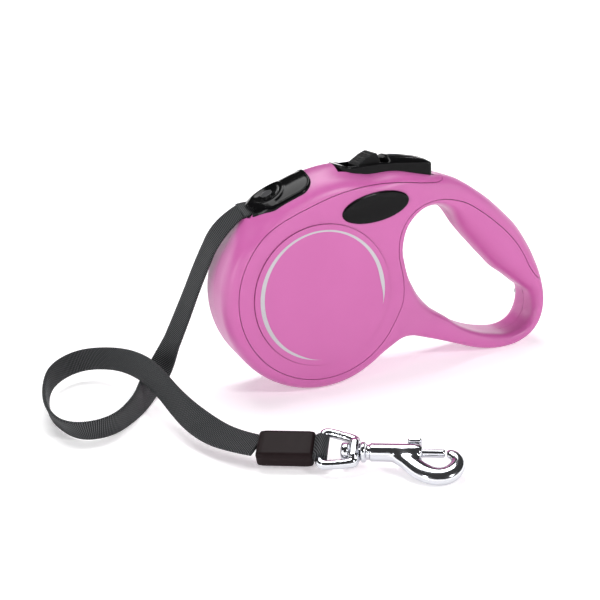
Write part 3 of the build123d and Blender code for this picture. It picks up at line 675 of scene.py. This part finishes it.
front_casing = half_shell
front_casing.name = "front_casing_skin"
pocket = prism("pocket", offset_outline(cover_outline, SHUT), -20, 1)
boolean(pocket, plan_prism("t", POCKET_FLOOR), "INTERSECT")
cut(front_casing, pocket,
    prism("t", SPOOL_ROOM, -7.6, 7.6), prism("t", circle(0, 0, 27.6, 96), -12.6, 12.6),
    prism("t", BRAKE_ROOM, -7.4, 7.4),
    prism("t", BUTTON_ROOM, -6.6, 6.6), prism("t", MOUTH, -5.8, 5.8),
    prism("t", GUARD_SEAT, -8.0, 8.0))
rear_casing = mirrored(front_casing, "rear_casing_skin")
rear_cover = mirrored(front_cover, "rear_cover_skin")
for u, v in SCREWS:
    for target in (rear_casing, rear_cover):
        cut(target, prism("t", circle(u, v, 2.15, 40), 6.2, 20),
            prism("t", circle(u, v, 1.15, 32), -8, 6.3))
    for target in (front_casing, front_cover):
        cut(target, prism("t", circle(u, v, 1.15, 32), -7.6, 6.3))

for piece, node in ((front_casing, "front_casing"), (rear_casing, "rear_casing"),
                    (front_cover, "front_cover"), (rear_cover, "rear_cover")):
    piece.data.validate()
    piece.data.materials.clear()
    piece.data.materials.append(PINK)
    piece.data.shade_smooth()
    piece.data.set_sharp_from_angle(angle=radians(32))
    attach(piece, "casing")
    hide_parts(node)

# ---- finishes of the other parts -----------------------------------------------------------------
for name in ("front_disc", "rear_disc"):
    dress(name, PINK)
for name in ("front_trim", "rear_trim"):
    dress(name, FOIL)


def badge_field(points):
    """A domed oval, seen from the front side."""
    u, y, v = points.T
    du, dv = u - BADGE_U, v - BADGE_V
    x = du * cos(badge_tilt) + dv * sin(badge_tilt)
    z = dv * cos(badge_tilt) - du * sin(badge_tilt)
    oval = np.hypot(x / 13.8, z / 5.5)
    rim = (oval - 1) * 5.6
    dome = -y - 15.1 - 0.7 * (1 - np.minimum(oval, 1) ** 2.5)
    return smooth_max(smooth_max(rim, dome, 0.4), y + 13.75, 0.1)


points, quads = surface_net(badge_field, (8, -17, 24), (38, -13, 38), 0.35)
badge = mesh_object("front_badge_skin", points, quads, GLOSS_BLACK, 40)
for piece, node in ((badge, "front_badge"), (mirrored(badge, "rear_badge_skin"), "rear_badge")):
    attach(piece, "casing")
    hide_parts(node)


# ---- button and lock -----------------------------------------------------------------------------
def along_u(u, pairs):
    """A height that changes along u, through (u, value) pairs."""
    stations, values = zip(*pairs)
    return np.interp(u, stations, values)


EDGE_TOP = [(8, 47.1), (11.5, 46.9), (14.6, 46.1), (17.5, 45.5), (20.8, 45.5), (29.2, 45.8),
            (38, 45.3), (45.4, 44.6), (49.3, 44.3), (52.5, 43.0)]
CROWN = [(8, 0.1), (12, 0.1), (18, 0.3), (32.4, 0.4), (33.4, 2.5), (40, 2.2), (46, 1.5),
         (49, 0.9), (51.5, 0.3)]
BOTTOM = [(8, 46.0), (10.4, 46.0), (10.7, 42.0), (12.4, 39.2), (16.9, 39.6), (20, 41.0),
          (30, 40.4), (38, 39.4), (44, 38.2), (52, 38.6)]


def button_field(points):
    """Thumb brake: a ridged bar behind a scoop for the lock."""
    u, y, v = points.T
    across = np.abs(y)
    crown = along_u(u, CROWN) * (1 - np.minimum(across / 7.0, 1) ** 2.4)
    ridges = 0.0
    for place in (1.7, 3.7):
        ridges = ridges + 0.34 * np.exp(-((across - place) / 0.4) ** 2)
    ridges = ridges * step_up(u, 34.2, 35.2) * (1 - step_up(u, 45.0, 46.0))
    ring = 0.4 * np.exp(-((np.hypot(u - 48.3, y) - 1.5) / 0.35) ** 2)
    top = v - (along_u(u, EDGE_TOP) + crown - ridges - ring)
    nose = np.maximum(17.8 - u, 0) / 6.5
    plan = ((nose ** 2.4 + (across / 7.0) ** 2.4) ** (1 / 2.4) - 1) * 7.0
    rear = np.hypot(np.maximum(u - 49.4, 0), np.maximum(across - 5.0, 0)) - 2.0
    plan = np.where((u > 49.4) | (across > 7.0), np.maximum(plan, rear), plan)
    body = smooth_max(top, plan, 0.7)
    scoop = np.maximum.reduce([across - 5.6, 14.4 - u, u - 32.9, 43.9 - v])
    body = smooth_max(body, -scoop, 0.35)
    body = np.maximum(body, along_u(u, BOTTOM) - v)
    foot = np.maximum.reduce([np.abs(u - 28) - 1.6, across - 2.4, 30.6 - v, v - 42])
    slot = np.maximum.reduce([np.abs(u - 26.4) - 3.1, across - 1.2])
    return np.maximum(np.minimum(body, foot), -slot)


LOCK_SIDE = [(20.5, 44.2), (20.5, 45.6), (24.6, 48.2), (27.6, 49.5), (28.5, 49.4), (29.6, 47.4),
             (30.0, 46.0), (30.0, 44.2)]


def polygon_field(outline, u, v):
    return -inside_distance(np.stack([u, v], 1), np.array(outline, float))


def lock_field(points):
    """Lock slider: a wedge with a ribbed ramp, on a stem."""
    u, y, v = points.T
    wedge = smooth_max(polygon_field(LOCK_SIDE, u, v), np.abs(y) - 4.9, 0.4)
    ramp = (u - 20.4) * 0.82 + (v - 45.9) * 0.57
    ribs = 0.16 * np.cos(ramp * 2 * pi / 1.15) * step_up(u, 20.6, 21.4) * (1 - step_up(u, 26, 27))
    wedge = wedge + ribs * (np.abs(y) < 4.3)
    stem = np.maximum.reduce([np.abs(u - 25) - 1.5, np.abs(y) - 1.0, 40.0 - v, v - 45.0])
    return np.minimum(wedge, stem)


points, quads = surface_net(button_field, (8, -8, 30), (52.6, 8, 49), 0.35)
button = mesh_object("brake_button_skin", points, quads, GLOSS_BLACK, 40)
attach(button, "button")
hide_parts("brake_button")
points, quads = surface_net(lock_field, (19, -6, 39), (31, 6, 50.4), 0.25)
lock = mesh_object("lock_slider_skin", points, quads, SATIN_BLACK, 40)
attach(lock, "lock")
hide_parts("lock_slider")


# ---- nose guard ----------------------------------------------------------------------------------
def guard_frame(points):
    """Distances along and out of the guard's surface at its boss, and across it."""
    u, y, v = points.T
    lean = radians(27)
    du, dv = u + 16.2, v - 39.6
    out = -du * sin(lean) + dv * cos(lean)
    return du * cos(lean) + dv * sin(lean), y + 2.0, out - 0.12 * (y + 2.0)


def guard_region(u, y, front, rear, half, corner):
    """Distance outside a round-cornered strip across the nose."""
    middle, reach = (front + rear) / 2, (rear - front) / 2
    half = half - 6.0 * step_up(-u, 15, 27)
    a = np.maximum(np.abs(u - middle) - (reach - corner), 0)
    b = np.maximum(np.abs(y) - (half - corner), 0)
    return np.hypot(a, b) - corner


GUARD_HALF = 11.6
PANEL = (-30.0, -1.0, 10.5, 4.2)             # recessed panel, satin with painted light on its upward faces: from u, to u, half width, corner


def guard_field(points):
    """The nose guard: a skin over the casing with a recessed panel, a bowl and a boss."""
    u, y, v = points.T
    skin = shell_field(points)
    body = smooth_max(skin - 0.7, guard_region(u, y, -26.4, 0.0, GUARD_HALF, 5.2), 0.9)
    along, across, out = guard_frame(points)
    panel = np.maximum(guard_region(u, y, *PANEL), 7.0 - np.hypot(along, across))
    panel = np.maximum(panel, -along)
    body = np.maximum(body, -smooth_max(-(skin - 0.4), panel, 0.3))
    bowl = np.sqrt((along / 6.2) ** 2 + (across / 6.6) ** 2 + ((out - 1.0) / 3.1) ** 2)
    body = smooth_max(body, (1 - bowl) * 3.1, 0.6)
    stud = smooth_max(np.hypot(along, across) - 2.5, out + 0.7, 0.3)
    body = -smooth_max(-body, -stud, 0.2)
    under = np.maximum(-(skin + 2.9), 25.0 - v)
    mouth = np.maximum(polygon_field(MOUTH, u, v), np.abs(y) - 6.2)
    return np.maximum.reduce([body, under, -mouth])


points, quads = surface_net(guard_field, (-29, -14, 26), (4, 14, 49), 0.4)
guard = mesh_object("nose_guard_skin", points, quads, GLOSS_BLACK, 40)
guard.data.materials.clear()
# Satin grey for the boss and the panel; on the panel it is painted light from above, given only to
# faces that point up.
SATIN_AND_PAINTED_LIGHT_GUARD = worked("satin_and_painted_light_guard", srgb(52, 52, 54), 0.38)
for material in (GLOSS_BLACK, SATIN_AND_PAINTED_LIGHT_GUARD):
    guard.data.materials.append(material)
centres = np.array([tuple(f.center) for f in guard.data.polygons]) / MM - np.array(AXLE)
along, across, out = guard_frame(centres)
normals = np.array([tuple(f.normal) for f in guard.data.polygons])
panel = (guard_region(centres[:, 0], centres[:, 1], *PANEL) < 0.1) & (along > 0)
panel &= np.hypot(along, across) > 6.9
stud = (np.hypot(along, across) < 2.3) & (out > -1.4)
# Painted light: panel faces turned upward get the lighter grey, those turned away stay gloss black;
# the boss is satin all over.
for face, satin in zip(guard.data.polygons, (panel & (normals[:, 2] > 0.2)) | stud):
    face.material_index = int(satin)
guard.data.shade_smooth()
guard.data.set_sharp_from_angle(angle=radians(50))
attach(guard, "casing")
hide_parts("nose_guard", "guard_rivet")


# ---- metals, acetal and sleeve -------------------------------------------------------------------
def chrome():
    """Nickel plate with faint waviness; its base colour darkens towards grazing edges as a painted
    dark reflection.
    """
    m = Mat("chrome", srgb(198, 199, 204), 0.13, 1.0)
    # Painted reflection: light grey where the surface faces the view, dark grey where it turns
    # away, standing in for dark surroundings mirrored at the edges.
    edge = m.node("ShaderNodeLayerWeight", Blend=0.3)
    tint = m.ramp(edge, "Facing", srgb(200, 201, 206), srgb(58, 58, 62), 0.5, 0.95)
    m.link(tint, "Color", m.shader, "Base Color")
    wave = m.noise(260.0, 2.0)
    m.bump(wave, "Fac", 0.0001, 0.25)
    return m.mat


CHROME = chrome()
ACETAL = worked("acetal", srgb(225, 225, 220), 0.45)
STEEL = worked("steel", srgb(170, 172, 176), 0.3, 1.0)
SPRING_STEEL = worked("spring_steel", srgb(120, 124, 130), 0.3, 1.0)
SLEEVE = worked("sleeve_brown", srgb(30, 22, 23), 0.34, 0.0, 1500.0, Specular_IOR_Level=0.05)
for name in ("spool", "ratchet_flange", "spring_arbor", "spring_cup", "spring_lid", "brake_pawl"):
    dress(name, ACETAL)
for name in ("axle", "button_pin", "pawl_pin", "casing_screws"):
    dress(name, STEEL)
for name in ("power_spring", "button_spring", "bolt_spring"):
    dress(name, SPRING_STEEL)
dress("wound_tape", WEBBING)
dress("strap_end_loop", folded_webbing())

# ---- sleeve, swivel and snap hook ----------------------------------------------------------------
HOOK_BASE = np.array([1.55, -101.35, -36.7])
HOOK_AXES = np.array([(0.866, -0.5, 0), (0.4636, 0.803, 0.3746), (-0.1873, -0.3244, 0.9272)])
AXIS_B, AXIS_C = 11.6, -0.3                   # centre of the barrel in the hook's own plane


def chain(points, stations, closed=False, flat=1.0):
    """Distance outside a bar through (a, b, c, radius) stations."""
    stations = np.array(stations + stations[:1] if closed else stations, float)
    points = points * (1, 1, flat)
    best = None
    for start, end in zip(stations, stations[1:]):
        span = (end - start)[:3] * (1, 1, flat)
        off = points - start[:3] * (1, 1, flat)
        t = np.clip(off @ span / (span @ span), 0, 1)
        gap = np.linalg.norm(off - t[:, None] * span, axis=1) - start[3] - t * (end[3] - start[3])
        best = gap if best is None else -smooth_max(-best, -gap, 0.5)
    return best


def soften(stations, closed=False):
    """Cut the corners of a run of stations twice."""
    path = np.array(stations, float)
    for _ in range(2):
        ahead = np.roll(path, -1, 0)
        rounded = np.stack([0.75 * path + 0.25 * ahead, 0.25 * path + 0.75 * ahead], 1)
        if closed:
            path = rounded.reshape(-1, 4)
        else:
            path = np.concatenate([path[:1], rounded[:-1].reshape(-1, 4), path[-1:]])
    return path.tolist()


def turned(points, profile):
    """Distance outside a bar turned about the barrel's axis, through (a, radius) pairs."""
    a, b, c = points.T
    stations, radii = zip(*profile)
    reach = np.hypot(b - AXIS_B, c - AXIS_C) - np.interp(a, stations, radii)
    return np.maximum.reduce([reach, stations[0] - a, a - stations[-1]])


def rounded_box(points, low, high, corner):
    low, high = np.array(low, float), np.array(high, float)
    gap = np.abs(points - (low + high) / 2) - (high - low) / 2 + corner
    return np.linalg.norm(np.maximum(gap, 0), axis=1) + np.minimum(gap.max(1), 0) - corner


def sleeve_field(points):
    a, b, c = points.T
    body = rounded_box(points, (-60.3, 7.5, -4.1), (-41.3, 19.1, 2.0), 1.5)
    rolled = 0.12 * np.exp(-((np.minimum(a + 60.3, -41.3 - a) - 1.4) / 0.5) ** 2)
    return body + rolled


EYE = [(-39.2, 18.2, 0, 1.35), (-38.2, 19.3, 0, 1.35), (-36.4, 19.3, 0, 1.4),
       (-29.0, 16.8, 0, 1.5), (-27.8, 15.4, 0, 1.6), (-27.8, 8.0, -0.3, 1.6),
       (-28.8, 6.6, 0, 1.5), (-36.4, 5.6, 0, 1.4), (-38.4, 5.8, 0, 1.35), (-39.2, 7.0, 0, 1.35)]


def eye_field(points):
    ring = chain(points, soften(EYE, True), closed=True)
    boss = rounded_box(points, (-30.1, 7.4, -2.9), (-26.6, 15.8, 2.3), 1.4)
    bore = np.hypot(points[:, 1] - AXIS_B, points[:, 2] - AXIS_C) - 1.8
    return np.maximum(-smooth_max(-ring, -boss, 0.6), -bore)


CURVE = [(-13.5, 9.6, -0.2, 2.5), (-11.2, 8.2, 0, 2.9), (-8.4, 5.2, 0, 3.1), (-5.4, 2.9, 0.1, 3.0),
         (-2.0, 1.7, 0.2, 2.9), (1.4, 2.2, 0.2, 2.9), (4.0, 4.8, 0.2, 2.6), (4.9, 7.8, 0.1, 2.0),
         (3.9, 10.2, 0, 1.7), (2.4, 11.3, -0.2, 1.5)]
BARREL = [(-32.6, 2.3), (-32.2, 2.9), (-31.6, 3.1), (-30.3, 3.1), (-29.9, 2.6), (-29.8, 1.6),
          (-26.3, 1.6), (-26.2, 2.9), (-25.8, 3.35), (-24.9, 3.35), (-24.5, 2.9), (-24.1, 2.45),
          (-23.4, 2.45), (-22.9, 2.95), (-8.6, 3.0), (-7.2, 2.8), (-6.6, 2.4)]


def hook_field(points):
    a, b, c = points.T
    body = turned(points, BARREL)
    body = -smooth_max(-body, -chain(points, soften(CURVE), flat=1.35), 1.6)
    bore = np.maximum(np.hypot(b - AXIS_B, c - AXIS_C) - 1.6, np.maximum(-23.0 - a, a + 4.0))
    slot = rounded_box(points, (-16.4, AXIS_B, -1.4), (-4.9, 18, 0.8), 0.5)
    nest = np.maximum(np.hypot(b - AXIS_B, c - AXIS_C) - 1.55, np.maximum(-0.5 - a, a - 1.2))
    return np.maximum.reduce([body, -bore, -slot, -nest])


def bolt_field(points):
    a, b, c = points.T
    rod = turned(points, [(-17.0, 1.1), (-16.6, 1.4), (0.2, 1.4), (0.7, 1.1)])
    stem = rounded_box(points, (-10.6, AXIS_B, -1.1), (-7.4, AXIS_B + 4.2, 0.5), 0.4)
    cap = rounded_box(points, (-11.4, AXIS_B + 3.3, -2.2), (-6.6, AXIS_B + 5.3, 1.6), 0.9)
    grip = 0.15 * np.cos((a + 9) * 2 * pi / 1.1) * (b > AXIS_B + 4.6)
    return np.minimum(np.minimum(rod, stem), cap + grip)


for name, field, low, high, step, material, body, node, slot_name in (
        ("sleeve_skin", sleeve_field, (-61.5, 6.5, -5.2), (-40, 20.2, 3), 0.4, SLEEVE, "casing",
         "strap_sleeve", "sleeve_brown"),
        ("swivel_eye_skin", eye_field, (-41.5, 3, -3.8), (-25, 21.5, 3.2), 0.28, CHROME, "eye",
         "swivel_eye", "chrome"),
        ("snap_hook_skin", hook_field, (-33.5, -3, -4.4), (8, 16, 4), 0.28, CHROME, "hook",
         "hook_body", "chrome"),
        ("trigger_bolt_skin", bolt_field, (-18, 9, -3), (1.6, 18, 2.6), 0.2, CHROME, "bolt",
         "trigger_bolt", "chrome")):
    points, quads = surface_net(field, low, high, step)
    piece = mesh_object(name, HOOK_BASE + points @ HOOK_AXES, quads, material, 45)
    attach(piece, body)
    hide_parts(node)


# ---- room and light ------------------------------------------------------------------------------
def add_room():
    """A round white floor that sweeps up into a low white wall."""
    profile = [(0.4, 0.0), (1.6, 0.0)]
    profile += [(1.6 + 0.4 * sin(a), 0.4 - 0.4 * cos(a)) for a in np.linspace(0.1, pi / 2, 12)]
    profile.append((2.0, 0.7))
    turns = np.linspace(0, 2 * pi, 72, endpoint=False)
    points = [(0, 0, 0)] + [(r * cos(a), r * sin(a), z) for r, z in profile for a in turns]
    n = len(turns)
    faces = [(0, 1 + k, 1 + (k + 1) % n) for k in range(n)]
    faces += [(1 + i * n + k, 1 + (i + 1) * n + k, 1 + (i + 1) * n + (k + 1) % n,
               1 + i * n + (k + 1) % n) for i in range(len(profile) - 1) for k in range(n)]
    mesh = bpy.data.meshes.new("floor")
    mesh.from_pydata(points, [], faces)
    mesh.shade_smooth()
    white = Mat("floor_white", srgb(250, 249, 250), 0.7)
    white.shader.inputs["Emission Color"].default_value = grey(1.0)
    place = white.node("ShaderNodeTexCoord")
    reach = white.node("ShaderNodeVectorMath", operation="LENGTH")
    white.link(place, "Object", reach, "Vector")
    glow = white.node("ShaderNodeMapRange")
    for key, value in (("From Min", 0.25), ("From Max", 1.1), ("To Min", 0.33), ("To Max", 1.0)):
        glow.inputs[key].default_value = value
    white.link(reach, "Value", glow, "Value")
    white.link(glow, "Result", white.shader, "Emission Strength")
    mesh.materials.append(white.mat)
    floor = bpy.data.objects.new("floor", mesh)
    bpy.context.scene.collection.objects.link(floor)
    world = bpy.data.worlds.new("studio")
    world.use_nodes = True
    world.node_tree.nodes["Background"].inputs["Color"].default_value = grey(1.0)
    world.node_tree.nodes["Background"].inputs["Strength"].default_value = 0.06
    bpy.context.scene.world = world


def area_light(name, place, target, size, power, color=(1, 1, 1)):
    data = bpy.data.lights.new(name, "AREA")
    data.shape, data.size, data.size_y = "RECTANGLE", size[0], size[1]
    data.energy, data.color = power, color
    light = bpy.data.objects.new(name, data)
    light.location = place
    light.rotation_euler = (Vector(target) - Vector(place)).to_track_quat("-Z", "Y").to_euler()
    bpy.context.scene.collection.objects.link(light)


add_room()
middle = (-0.03, 0.0, 0.04)
area_light("top", (-0.05, 0.2, 0.8), middle, (0.6, 0.4), 5.2)
area_light("left", (-0.75, -0.42, 0.3), middle, (0.1, 0.5), 1.7)
area_light("front", (0.3, -0.9, 0.7), middle, (0.16, 0.16), 4.6)
bpy.context.scene.view_settings.view_transform = "Standard"
